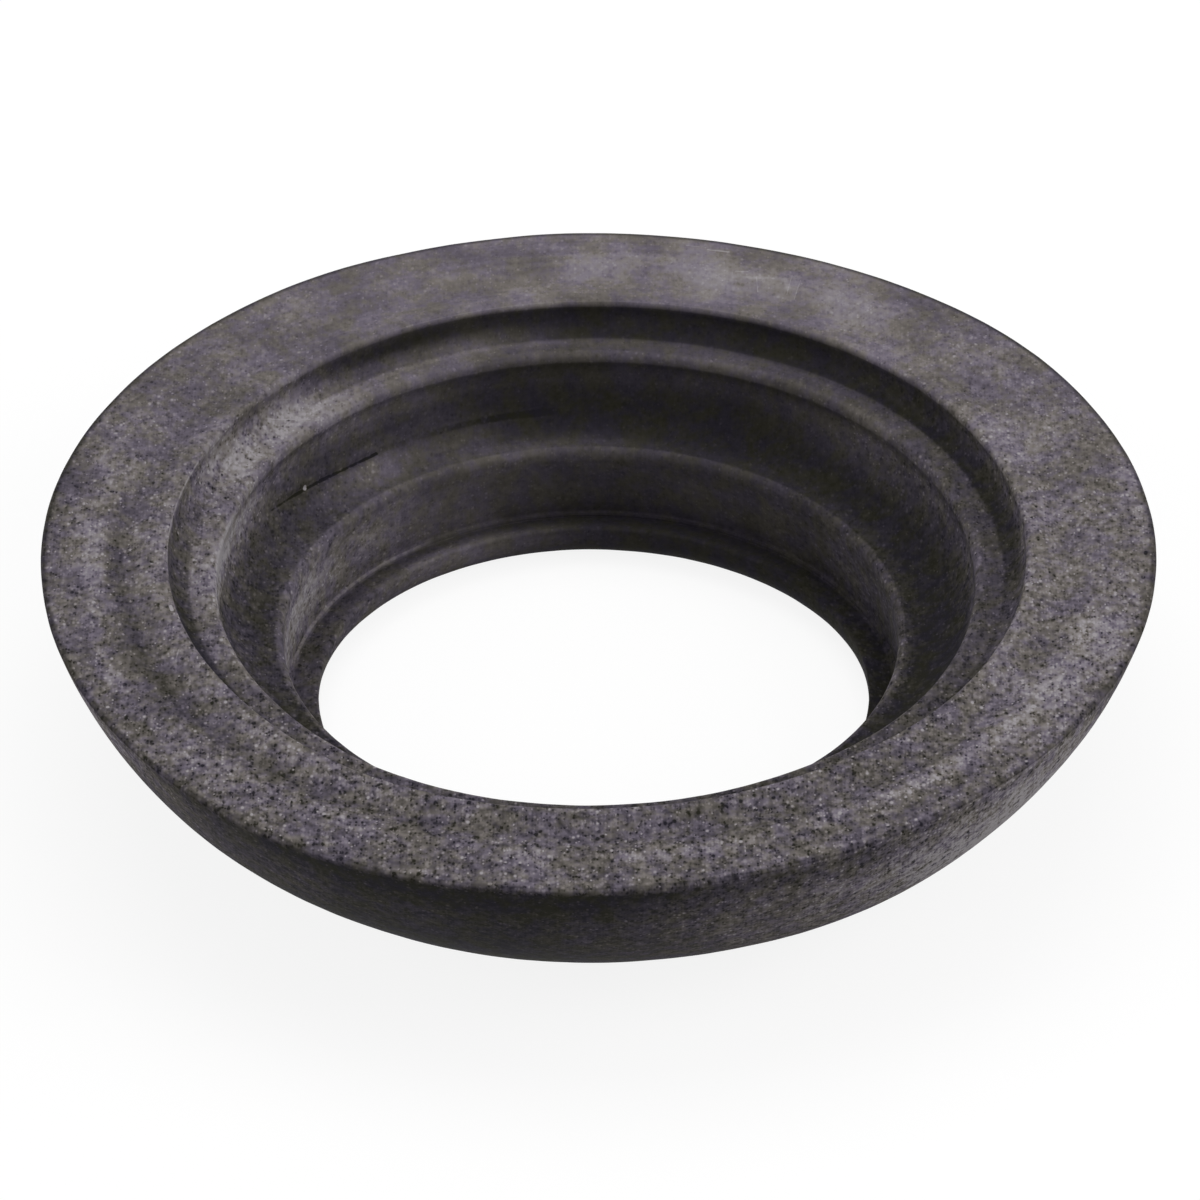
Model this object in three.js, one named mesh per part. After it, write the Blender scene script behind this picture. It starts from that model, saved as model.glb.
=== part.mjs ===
/**
 * Tank to bowl gasket: the moulded rubber ring that seals a toilet tank to its bowl.
 *
 * One solid of revolution about +Z, in millimetres. It stands on its narrow face, the foot, at z = 0, and its
 * broad face is uppermost and presses on the underside of the tank. The bowed outer wall narrows towards the
 * foot and seats in the bowl's inlet. Inside, three recesses step inwards from the broad face and leave room
 * for the flush valve's lock nut and tail, down to the throat that the water runs through. Each recess has an
 * upright wall and a ledge, and the two upper ones have a hollow cove at the foot of the wall and a rounded nose
 * on the ledge. The lip round the throat is thick, and its underside is rounded all the way from the foot up to
 * the throat's narrowest place.
 *
 * The widths add up outwards from the throat, and the depths add up downwards from the broad face, so any one
 * size can change and the rest of the section moves with it.
 */
import * as THREE from 'three';

// Throat, the lip round it, and the flat foot outside the lip
const THROAT_DIAMETER = 50.6;
const THROAT_LIP_THICKNESS = 3.75;
const LIP_UNDERSIDE_RADIUS = 2.9;
const FOOT_WIDTH = 7.8;

// Widths of the ledges and of the broad face, from the throat outwards
const LOWER_LEDGE_WIDTH = 2.6;
const MOULD_STEP_WIDTH = 0.3;
const MIDDLE_LEDGE_WIDTH = 6.5;
const UPPER_LEDGE_WIDTH = 4.5;
const BROAD_FACE_WIDTH = 11.8;

// Heights: the whole ring, how far each wall drops, and how far the lower ledge falls away from the throat
const HEIGHT = 20.3;
const UPPER_WALL_DROP = 2.9;
const MIDDLE_WALL_DROP = 6.6;
const LOWER_LEDGE_FALL = 0.4;

// Coves at the feet of the walls, and the noses of the ledges
const UPPER_COVE_RADIUS = 2.3;
const MIDDLE_COVE_RADIUS = 5.6;
const UPPER_NOSE_RADIUS = 0.8;
const MIDDLE_NOSE_RADIUS = 0.8;

// Outer wall, a single outward bow from the foot to the rim
const OUTER_WALL_BOW_RADIUS = 35;

// Edges that are only just broken
const RIM_EDGE_RADIUS = 0.35;
const BROAD_FACE_INNER_EDGE_RADIUS = 0.45;
const FOOT_OUTER_EDGE_RADIUS = 0.7;
const THROAT_EDGE_RADIUS = 0.25;

// Low step that the mould leaves where the lower wall meets its ledge
const MOULD_STEP_HEIGHT = 0.3;

// Shallow trough that runs round the broad face
const TROUGH_WIDTH = 4.6;
const TROUGH_DEPTH = 0.3;
const TROUGH_DISTANCE_FROM_RECESS = 1.5;

// Fineness of the surface
const TURN_SEGMENTS = 72;
const LARGE_ARC_STEPS = 8;
const SMALL_ARC_STEPS = 4;
const EDGE_ARC_STEPS = 2;
const SAME_POINT = 0.001;

// Directions in the plane of the section, where x is the distance from the axis and y is the height
const OUTWARDS = 0;
const UPWARDS = Math.PI / 2;
const INWARDS = Math.PI;
const DOWNWARDS = -Math.PI / 2;

/** The radii at which the section turns, worked out from the widths. */
function sectionRadii() {
  const throat = THROAT_DIAMETER / 2;
  const lowerLedge = throat + LOWER_LEDGE_WIDTH;
  const lowerWall = lowerLedge + MOULD_STEP_WIDTH;
  const middleWall = lowerWall + MIDDLE_LEDGE_WIDTH;
  const upperWall = middleWall + UPPER_LEDGE_WIDTH;
  const rim = upperWall + BROAD_FACE_WIDTH;
  const foot = throat + LIP_UNDERSIDE_RADIUS + FOOT_WIDTH;
  return { throat, lowerLedge, lowerWall, middleWall, upperWall, rim, foot };
}

/** The heights of the ledges and of the broad face, worked out from the drops. */
function sectionHeights() {
  const upperLedge = HEIGHT - UPPER_WALL_DROP;
  const middleLedge = upperLedge - MIDDLE_WALL_DROP;
  const lowerLedge = THROAT_LIP_THICKNESS - LOWER_LEDGE_FALL;
  return { broadFace: HEIGHT, upperLedge, middleLedge, lowerLedge, lipTop: THROAT_LIP_THICKNESS };
}

/** A cove fits between its ledge's nose and its wall, and below the rounded edge at the top of the wall. */
function coveThatFits(wanted, ledgeWidth, noseRadius, wallDrop, edgeRadius) {
  return Math.min(wanted, ledgeWidth - noseRadius, wallDrop - edgeRadius);
}

/** Adds an arc to the outline, from one direction seen from its centre to another. */
function addArc(outline, centreX, centreY, radius, from, to, steps) {
  const clockwise = to < from;
  const arc = new THREE.ArcCurve(centreX, centreY, radius, from, to, clockwise);
  outline.push(...arc.getPoints(steps));
}

/**
 * The outer wall: an arc of the given radius that bows outwards and upwards from the foot to the rim.
 * Its centre lies on the inner side of the chord between the two ends.
 */
function addOuterWall(outline, start, end, radius) {
  const chord = end.clone().sub(start);
  const middle = start.clone().add(end).multiplyScalar(0.5);
  const halfChord = chord.length() / 2;
  const inward = new THREE.Vector2(-chord.y, chord.x).normalize();
  const centre = middle.add(inward.multiplyScalar(Math.sqrt(radius ** 2 - halfChord ** 2)));
  const from = start.clone().sub(centre).angle() - 2 * Math.PI;
  const to = from + 2 * Math.asin(halfChord / radius);
  addArc(outline, centre.x, centre.y, radius, from, to, LARGE_ARC_STEPS);
}

/** The trough in the broad face: a shallow arc that is crossed from its outer edge to its inner edge. */
function addTrough(outline, innerEdge, faceHeight) {
  const halfWidth = TROUGH_WIDTH / 2;
  const radius = (halfWidth ** 2 + TROUGH_DEPTH ** 2) / (2 * TROUGH_DEPTH);
  const centreY = faceHeight - TROUGH_DEPTH + radius;
  const spread = Math.asin(halfWidth / radius);
  addArc(outline, innerEdge + halfWidth, centreY, radius, DOWNWARDS + spread, DOWNWARDS - spread, SMALL_ARC_STEPS);
}

/**
 * One recess below its upper edge: the cove at the foot of the wall and the nose where the ledge ends.
 * The straight parts of the wall and of the ledge are what is left between them.
 */
function addRecess(outline, wall, noseEdge, ledgeHeight, coveRadius, noseRadius) {
  addArc(outline, wall - coveRadius, ledgeHeight + coveRadius, coveRadius, OUTWARDS, DOWNWARDS, LARGE_ARC_STEPS);
  addArc(outline, noseEdge + noseRadius, ledgeHeight - noseRadius, noseRadius, UPWARDS, INWARDS, SMALL_ARC_STEPS);
}

/**
 * The lower recess below its wall: the mould's step, the ledge that rises to the lip, the lip's inner edge, and
 * its rounded underside down to the foot.
 */
function addLowerLedgeAndLip(outline, radii, heights) {
  const underside = Math.min(LIP_UNDERSIDE_RADIUS, heights.lipTop - THROAT_EDGE_RADIUS);
  outline.push(new THREE.Vector2(radii.lowerWall, heights.lowerLedge + MOULD_STEP_HEIGHT));
  outline.push(new THREE.Vector2(radii.lowerLedge, heights.lowerLedge));
  addArc(
    outline,
    radii.throat + THROAT_EDGE_RADIUS,
    heights.lipTop - THROAT_EDGE_RADIUS,
    THROAT_EDGE_RADIUS,
    UPWARDS,
    INWARDS,
    EDGE_ARC_STEPS,
  );
  addArc(outline, radii.throat + underside, underside, underside, Math.PI, 1.5 * Math.PI, LARGE_ARC_STEPS);
}

/** Drops each point that coincides with the one before it, where a straight part has no length left. */
function withoutRepeats(outline) {
  return outline.filter((point, index) => index === 0 || point.distanceTo(outline[index - 1]) > SAME_POINT);
}

/** The closed section of the ring, anticlockwise from the outer end of the foot. */
function gasketSection() {
  const radii = sectionRadii();
  const heights = sectionHeights();
  const outline = [];

  // Foot and outer wall
  const footEnd = new THREE.Vector2(radii.foot - FOOT_OUTER_EDGE_RADIUS, 0);
  const wallStart = new THREE.Vector2(radii.foot, FOOT_OUTER_EDGE_RADIUS);
  const wallEnd = new THREE.Vector2(radii.rim, heights.broadFace - RIM_EDGE_RADIUS);
  outline.push(footEnd);
  addOuterWall(outline, wallStart, wallEnd, OUTER_WALL_BOW_RADIUS);

  // Rim, broad face and trough
  outline.push(new THREE.Vector2(radii.rim - RIM_EDGE_RADIUS, heights.broadFace));
  addTrough(outline, radii.upperWall + TROUGH_DISTANCE_FROM_RECESS, heights.broadFace);
  addArc(
    outline,
    radii.upperWall + BROAD_FACE_INNER_EDGE_RADIUS,
    heights.broadFace - BROAD_FACE_INNER_EDGE_RADIUS,
    BROAD_FACE_INNER_EDGE_RADIUS,
    UPWARDS,
    INWARDS,
    EDGE_ARC_STEPS,
  );

  // Upper and middle recesses
  const upperCove = coveThatFits(
    UPPER_COVE_RADIUS,
    UPPER_LEDGE_WIDTH,
    UPPER_NOSE_RADIUS,
    UPPER_WALL_DROP,
    BROAD_FACE_INNER_EDGE_RADIUS,
  );
  const middleCove = coveThatFits(
    MIDDLE_COVE_RADIUS,
    MIDDLE_LEDGE_WIDTH,
    MIDDLE_NOSE_RADIUS,
    MIDDLE_WALL_DROP,
    UPPER_NOSE_RADIUS,
  );
  addRecess(outline, radii.upperWall, radii.middleWall, heights.upperLedge, upperCove, UPPER_NOSE_RADIUS);
  addRecess(outline, radii.middleWall, radii.lowerWall, heights.middleLedge, middleCove, MIDDLE_NOSE_RADIUS);

  // Lower recess, and the lip whose underside runs down to the foot
  addLowerLedgeAndLip(outline, radii, heights);
  outline.push(footEnd);
  return withoutRepeats(outline);
}

/** Moulded black rubber with a dry, dusty face. */
function rubberMaterial() {
  return new THREE.MeshStandardMaterial({ color: 0x454144, roughness: 0.92, metalness: 0 });
}

const gasketRing = new THREE.Mesh(new THREE.LatheGeometry(gasketSection(), TURN_SEGMENTS), rubberMaterial());
gasketRing.name = 'tank_to_bowl_gasket';
gasketRing.rotation.x = Math.PI / 2;

const gasket = new THREE.Group();
gasket.add(gasketRing);

export default gasket;
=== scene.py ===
"""Looks of the tank to bowl gasket: dry, dusty moulded rubber under plain studio light.

The ring is one piece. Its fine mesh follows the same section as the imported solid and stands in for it.
Bearings are in degrees round the axis, with 0 to the right, 90 at the back, 180 to the left and 270 in front.
"""
from __future__ import annotations

import logging
import math
from dataclasses import dataclass, field
from enum import Enum

import bpy
import numpy as np
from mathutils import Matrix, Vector, noise


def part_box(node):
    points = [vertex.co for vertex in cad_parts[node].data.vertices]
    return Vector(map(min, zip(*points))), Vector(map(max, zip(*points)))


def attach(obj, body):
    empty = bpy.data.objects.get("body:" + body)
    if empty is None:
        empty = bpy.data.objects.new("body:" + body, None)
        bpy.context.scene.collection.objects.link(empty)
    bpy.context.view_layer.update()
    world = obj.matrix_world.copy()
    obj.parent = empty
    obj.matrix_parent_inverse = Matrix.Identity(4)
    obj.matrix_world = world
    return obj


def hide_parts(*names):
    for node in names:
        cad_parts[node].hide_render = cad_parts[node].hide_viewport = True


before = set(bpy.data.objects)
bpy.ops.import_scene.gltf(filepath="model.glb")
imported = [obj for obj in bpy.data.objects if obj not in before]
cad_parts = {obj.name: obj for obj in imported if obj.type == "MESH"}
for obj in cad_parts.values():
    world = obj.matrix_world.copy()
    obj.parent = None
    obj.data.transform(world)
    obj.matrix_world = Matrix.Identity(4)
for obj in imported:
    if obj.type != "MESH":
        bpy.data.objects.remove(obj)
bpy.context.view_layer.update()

LOG = logging.getLogger("gasket")
MM = 0.001
NODE = "tank_to_bowl_gasket"
BODY = "root"

Colour = tuple[float, float, float]
Place = tuple[float, float, float]
Socket = bpy.types.NodeSocket
Value = float | tuple[float, ...] | Socket
Feeds = dict[str | int, Value]
WHITE = (1.0, 1.0, 1.0, 1.0)


class Stretch(Enum):
    """Stretches of the ring's section, in the order in which the outline meets them."""

    FOOT = "foot"
    FOOT_EDGE = "outer edge of the foot"
    OUTER_WALL = "outer wall"
    RIM_EDGE = "rim edge"
    BROAD_FACE = "broad face"
    FACE_EDGE = "inner edge of the broad face"
    UPPER_COVE = "upper cove"
    UPPER_LEDGE = "upper ledge"
    UPPER_NOSE = "upper nose"
    MIDDLE_COVE = "middle cove"
    MIDDLE_LEDGE = "middle ledge"
    MIDDLE_NOSE = "middle nose"
    LOWER_WALL = "lower wall"
    MOULD_STEP = "mould step"
    LOWER_LEDGE = "lower ledge"
    LIP_EDGE = "edge of the lip"
    LIP_UNDERSIDE = "underside of the lip"


COVES = {Stretch.UPPER_COVE: Stretch.UPPER_LEDGE, Stretch.MIDDLE_COVE: Stretch.MIDDLE_LEDGE}


@dataclass(frozen=True)
class LaidDust:
    """How much dust lies on a stretch, on the ring's clean side and on its dusty side."""

    clean: float
    dusty: float


# A cove's own dust lies on its steep part, and its level part has that of the ledge
LAID_DUST: dict[Stretch, LaidDust] = {
    Stretch.FOOT: LaidDust(0.10, 0.10),
    Stretch.FOOT_EDGE: LaidDust(0.12, 0.12),
    Stretch.OUTER_WALL: LaidDust(0.05, 0.06),
    Stretch.RIM_EDGE: LaidDust(0.22, 0.22),
    Stretch.BROAD_FACE: LaidDust(0.85, 0.81),
    Stretch.FACE_EDGE: LaidDust(0.78, 0.82),
    Stretch.UPPER_COVE: LaidDust(0.07, 0.30),
    Stretch.UPPER_LEDGE: LaidDust(0.35, 0.85),
    Stretch.UPPER_NOSE: LaidDust(0.46, 0.84),
    Stretch.MIDDLE_COVE: LaidDust(0.018, 0.18),
    Stretch.MIDDLE_LEDGE: LaidDust(0.05, 0.22),
    Stretch.MIDDLE_NOSE: LaidDust(0.24, 0.52),
    Stretch.LOWER_WALL: LaidDust(0.18, 0.60),
    Stretch.MOULD_STEP: LaidDust(0.08, 0.40),
    Stretch.LOWER_LEDGE: LaidDust(0.02, 0.22),
    Stretch.LIP_EDGE: LaidDust(0.04, 0.30),
    Stretch.LIP_UNDERSIDE: LaidDust(0.03, 0.30),
}


def smooth_step(value: np.ndarray, low: float, high: float) -> np.ndarray:
    """Rise smoothly from nought at the low value to one at the high value."""
    share = np.clip((value - low) / (high - low), 0.0, 1.0)
    return share * share * (3.0 - 2.0 * share)


def turn_from(bearings: np.ndarray, middle: float) -> np.ndarray:
    """Signed turn in degrees from the middle bearing to each bearing, between -180 and 180."""
    return (bearings - middle + 180.0) % 360.0 - 180.0


def turned(across: np.ndarray, upwards: np.ndarray, bearings: np.ndarray) -> np.ndarray:
    """Turn the section's points or directions about the axis.

    Args:
        across: How far each row lies out from the axis, with one column or a column for each bearing.
        upwards: How far each row lies up, likewise.
        bearings: Bearing of each column, in degrees.

    Returns:
        Rows of X, Y and Z, first round the axis and then along the section.
    """
    turn = np.radians(bearings)[None, :]
    parts = np.broadcast_arrays(across * np.cos(turn), across * np.sin(turn), upwards)
    return np.stack(parts, axis=-1).reshape(-1, 3)


@dataclass(frozen=True)
class RingSizes:
    """Sizes of the ring in metres, and the knee of the mould's step as shares of its width and height.

    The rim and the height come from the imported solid.
    """

    rim_radius: float
    height: float
    throat_radius: float = 25.3 * MM
    lip_thickness: float = 3.75 * MM
    lip_underside: float = 2.9 * MM
    foot_width: float = 7.8 * MM
    lower_ledge: float = 2.6 * MM
    lower_ledge_fall: float = 0.4 * MM
    mould_step: float = 0.3 * MM
    mould_step_height: float = 0.3 * MM
    mould_step_knee: tuple[float, float] = (0.25, 0.8)
    middle_ledge: float = 6.5 * MM
    upper_ledge: float = 4.5 * MM
    upper_drop: float = 2.9 * MM
    middle_drop: float = 6.6 * MM
    upper_cove: float = 2.3 * MM
    middle_cove: float = 5.6 * MM
    upper_nose: float = 0.8 * MM
    middle_nose: float = 0.8 * MM
    outer_bow: float = 35.0 * MM
    rim_edge: float = 0.3 * MM
    face_edge: float = 0.4 * MM
    foot_edge: float = 0.7 * MM
    throat_edge: float = 0.25 * MM

    @classmethod
    def from_frame(cls) -> "RingSizes":
        """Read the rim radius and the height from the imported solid."""
        low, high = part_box(NODE)
        return cls(rim_radius=(high.x - low.x) / 2, height=high.z - low.z)

    @property
    def foot_radius(self) -> float:
        """Outer radius of the foot."""
        return self.throat_radius + self.lip_underside + self.foot_width

    @property
    def lower_wall_radius(self) -> float:
        """Radius of the lower recess's wall."""
        return self.throat_radius + self.lower_ledge + self.mould_step

    @property
    def middle_wall_radius(self) -> float:
        """Radius of the middle recess's wall."""
        return self.lower_wall_radius + self.middle_ledge

    @property
    def upper_wall_radius(self) -> float:
        """Radius of the upper recess's wall."""
        return self.middle_wall_radius + self.upper_ledge

    @property
    def upper_ledge_height(self) -> float:
        """Height of the upper ledge."""
        return self.height - self.upper_drop

    @property
    def middle_ledge_height(self) -> float:
        """Height of the middle ledge."""
        return self.upper_ledge_height - self.middle_drop


@dataclass
class SectionOutline:
    """The closed outline of the section, drawn anticlockwise as points of radius and height."""

    points: list[tuple[float, float]] = field(default_factory=list)
    stretches: list[Stretch] = field(default_factory=list)

    def add(self, radius: float, height: float, stretch: Stretch) -> None:
        """Add one point at a distance from the axis and a height above the floor."""
        self.points.append((radius, height))
        self.stretches.append(stretch)

    def line(self, radius: float, height: float, stretch: Stretch, spacing: float) -> None:
        """Add a straight run from the last point.

        Args:
            radius: Distance of the run's end from the axis.
            height: Height of the run's end.
            stretch: The stretch that the run belongs to.
            spacing: Widest gap between two points.
        """
        start = np.array(self.points[-1])
        end = np.array((radius, height))
        steps = max(1, math.ceil(float(np.linalg.norm(end - start)) / spacing))
        for step in range(1, steps + 1):
            point = start + (end - start) * step / steps
            self.add(float(point[0]), float(point[1]), stretch)

    def arc(self, centre: tuple[float, float], radius: float, start: float, end: float, stretch: Stretch,
            steps: int) -> None:
        """Add an arc with both its ends, between two directions in degrees as seen from its centre."""
        for angle in np.radians(np.linspace(start, end, steps + 1)):
            self.add(centre[0] + radius * math.cos(angle), centre[1] + radius * math.sin(angle), stretch)

    def tidy(self, gap: float = 0.01 * MM) -> None:
        """Drop each point that coincides with the one before it.

        Args:
            gap: Distance under which two points are one.
        """
        kept = [i for i, point in enumerate(self.points) if math.dist(point, self.points[i - 1]) > gap]
        self.points = [self.points[i] for i in kept]
        self.stretches = [self.stretches[i] for i in kept]

    def as_array(self) -> np.ndarray:
        """The points as an array of radius and height."""
        return np.array(self.points)

    def mask(self, *wanted: Stretch) -> np.ndarray:
        """One for the points of the wanted stretches and nought for the others."""
        return np.array([1.0 if stretch in wanted else 0.0 for stretch in self.stretches])


@dataclass(frozen=True)
class DustAndPaintedLightPatch:
    """A place where more or less dust lies; some patches also paint light, highlights and shade. Its spread
    is in degrees and its reach in millimetres.
    """

    place: Place
    spread: float
    reach: float
    strength: float
    calm: float = 0.0
    only: Stretch | None = None

    def shape(self, bearings: np.ndarray, outline: SectionOutline) -> np.ndarray:
        """How near each point of the ring is to the middle of the patch.

        Args:
            bearings: Bearing of each column of points, in degrees.
            outline: The section's outline, whose points are the rows.

        Returns:
            One in the middle and nought far off, for each row and column.
        """
        bearing, radius, height = self.place
        section = outline.as_array()
        round_axis = np.exp(-((turn_from(bearings, bearing) / self.spread) ** 2))
        away = np.hypot(section[:, 0] - radius * MM, section[:, 1] - height * MM)
        across = np.exp(-((away / (self.reach * MM)) ** 2)) * (outline.mask(self.only) if self.only else 1.0)
        return across[:, None] * round_axis[None, :]


# Each has its place as a bearing, radius and height, then its spread, reach and strength
DUST_AND_PAINTED_LIGHT_PATCHES = (
    # Upper recess
    DustAndPaintedLightPatch((147, 37.8, 17.8), 16, 1.8, 1.10, calm=-0.7),
    DustAndPaintedLightPatch((112, 37.6, 17.6), 12, 1.4, 0.35),
    DustAndPaintedLightPatch((158, 39.0, 19.0), 14, 1.2, 0.50),
    DustAndPaintedLightPatch((10, 39.2, 19.4), 26, 0.7, 0.20),
    DustAndPaintedLightPatch((122, 38.9, 18.6), 16, 1.0, -0.30),
    DustAndPaintedLightPatch((4, 39.1, 19.1), 16, 0.7, 0.35),
    DustAndPaintedLightPatch((198, 38.3, 18.3), 14, 1.3, -0.25),
    DustAndPaintedLightPatch((225, 36.0, 17.4), 14, 1.6, 0.22),
    DustAndPaintedLightPatch((35, 37.3, 17.5), 50, 0.9, -0.06),
    DustAndPaintedLightPatch((346, 38.2, 17.8), 12, 1.2, 0.34),
    # Top of the middle cove
    # Partly dust and partly a painted highlight: these two patches light the upper nose and the top of the
    # middle cove on the left.
    DustAndPaintedLightPatch((173, 34.75, 16.4), 9, 0.8, 1.05, calm=0.8),
    DustAndPaintedLightPatch((170, 34.7, 15.4), 17, 1.1, 1.45),
    DustAndPaintedLightPatch((130, 34.7, 15.4), 17, 1.1, 0.38),
    DustAndPaintedLightPatch((164, 34.3, 14.0), 15, 1.6, 0.52),
    DustAndPaintedLightPatch((22, 34.7, 15.5), 46, 1.1, 0.37),
    DustAndPaintedLightPatch((34, 34.3, 13.9), 24, 1.6, 0.24),
    DustAndPaintedLightPatch((90, 34.6, 15.0), 24, 1.5, 0.10),
    # Middle ledge, lower wall and lip
    DustAndPaintedLightPatch((128, 31.4, 11.3), 16, 2.0, 0.40),
    DustAndPaintedLightPatch((163, 28.2, 8.0), 13, 2.4, 0.95),
    DustAndPaintedLightPatch((140, 28.2, 6.6), 10, 1.6, 0.35),
    DustAndPaintedLightPatch((180, 28.2, 5.7), 10, 1.6, 0.40),
    DustAndPaintedLightPatch((126, 25.6, 3.7), 18, 0.5, 0.25),
    DustAndPaintedLightPatch((26, 28.2, 7.5), 22, 3.4, 0.12),
    DustAndPaintedLightPatch((102, 29.2, 10.8), 16, 1.4, 0.23),
    DustAndPaintedLightPatch((171, 29.8, 10.8), 16, 1.3, -0.14),
    DustAndPaintedLightPatch((75, 28.2, 7.0), 30, 4.0, 0.05),
    DustAndPaintedLightPatch((120, 25.4, 2.8), 26, 1.3, 0.42),
    # Painted highlight on the middle nose at the right front.
    DustAndPaintedLightPatch((346, 28.6, 10.4), 12, 1.1, 0.24),
    # Outer wall
    # Partly dust and partly painted light: the right front of the outer wall is painted lighter, as lit from
    # the right.
    DustAndPaintedLightPatch((321, 47.2, 12.0), 25, 9.0, 1.90, only=Stretch.OUTER_WALL),
    DustAndPaintedLightPatch((287, 47.0, 13.0), 14, 9.0, 0.45, only=Stretch.OUTER_WALL),
    DustAndPaintedLightPatch((256, 48.8, 15.0), 40, 5.5, 0.17, only=Stretch.OUTER_WALL),
    DustAndPaintedLightPatch((225, 48.4, 14.5), 14, 5.0, 0.32, only=Stretch.OUTER_WALL),
    DustAndPaintedLightPatch((225, 43.4, 7.2), 14, 2.6, -0.12, only=Stretch.OUTER_WALL),
    DustAndPaintedLightPatch((207, 50.0, 17.5), 10, 4.0, 0.55, only=Stretch.OUTER_WALL),
    DustAndPaintedLightPatch((208, 50.5, 18.6), 15, 2.2, 0.62, only=Stretch.OUTER_WALL),
    # Broad face
    DustAndPaintedLightPatch((180, 46.2, 20.3), 11, 1.2, 0.42),
    DustAndPaintedLightPatch((203, 47.4, 20.3), 10, 0.9, 0.30),
    DustAndPaintedLightPatch((338, 47.2, 20.3), 15, 2.4, 0.45),
    DustAndPaintedLightPatch((314, 46.1, 20.3), 12, 1.0, 0.30),
    # Darkens the broad face at the right front.
    DustAndPaintedLightPatch((292, 44.0, 20.3), 22, 9.0, -0.19),
    DustAndPaintedLightPatch((225, 49.6, 20.3), 14, 1.6, -0.14),
    DustAndPaintedLightPatch((45, 49.6, 20.3), 14, 1.6, -0.20),
    DustAndPaintedLightPatch((288, 46.6, 20.3), 20, 1.2, 0.16),
    DustAndPaintedLightPatch((180, 50.0, 20.3), 12, 1.2, -0.20),
    DustAndPaintedLightPatch((0, 50.2, 20.3), 30, 1.0, 0.12),
    # Painted highlight along the rim edge in front.
    DustAndPaintedLightPatch((270, 50.9, 20.25), 70, 0.35, 0.45),
    DustAndPaintedLightPatch((2, 47.0, 20.3), 16, 3.2, -0.24),
    DustAndPaintedLightPatch((344, 42.4, 20.2), 14, 3.0, -0.12),
    DustAndPaintedLightPatch((317, 43.6, 20.2), 13, 2.4, -0.14),
    DustAndPaintedLightPatch((316, 48.6, 20.3), 12, 1.4, -0.24),
    DustAndPaintedLightPatch((203, 47.6, 20.3), 10, 3.0, -0.20),
    DustAndPaintedLightPatch((180, 44.4, 20.2), 11, 0.9, -0.24),
    DustAndPaintedLightPatch((160, 41.4, 20.2), 14, 2.0, -0.10),
    DustAndPaintedLightPatch((130, 40.2, 20.2), 15, 1.0, -0.22),
    DustAndPaintedLightPatch((88, 44.2, 20.2), 16, 1.8, 0.12),
    DustAndPaintedLightPatch((72, 45.4, 20.3), 14, 1.8, 0.62),
    DustAndPaintedLightPatch((270, 46.0, 20.3), 34, 0.9, 0.22),
    # Darkens the broad face across the front.
    DustAndPaintedLightPatch((262, 45.5, 20.3), 52, 9.0, -0.24),
    DustAndPaintedLightPatch((205, 44.0, 20.2), 28, 1.5, -0.44),
    DustAndPaintedLightPatch((240, 43.3, 20.2), 26, 1.4, -0.16),
    DustAndPaintedLightPatch((165, 42.4, 20.2), 16, 1.6, -0.20),
    DustAndPaintedLightPatch((163, 49.6, 20.3), 14, 1.4, -0.20),
    DustAndPaintedLightPatch((192, 40.6, 20.3), 16, 1.0, 0.12),
)


def place_of(bearing: float, radius: float, height: float) -> Place:
    """Coordinates in metres of a bearing in degrees and a radius and height in millimetres."""
    turn = math.radians(bearing)
    return (radius * MM * math.cos(turn), radius * MM * math.sin(turn), height * MM)


@dataclass(frozen=True)
class Stroke:
    """A thin mark between two places. It is dark where its strength is below nought."""

    start: Place
    end: Place
    width: float
    strength: float

    def feeds(self) -> Feeds:
        """What the stroke gives to its node group."""
        return {"Start": place_of(*self.start), "End": place_of(*self.end), "Width": self.width * MM}


@dataclass(frozen=True)
class RingLine:
    """A thin mark that runs round the axis for part of a turn, to both sides of its middle place."""

    middle: Place
    half_turn: float
    width: float
    strength: float

    def feeds(self) -> Feeds:
        """What the line gives to its node group."""
        bearing, radius, height = self.middle
        end = math.cos(math.radians(self.half_turn))
        return {"Middle": place_of(bearing, 1 / MM, 0.0), "End Cosine": end, "Radius": radius * MM,
                "Height": height * MM, "Width": self.width * MM}


def speck(place: Place, width: float, strength: float) -> Stroke:
    """A small round mark."""
    return Stroke(place, place, width, strength)


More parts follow.
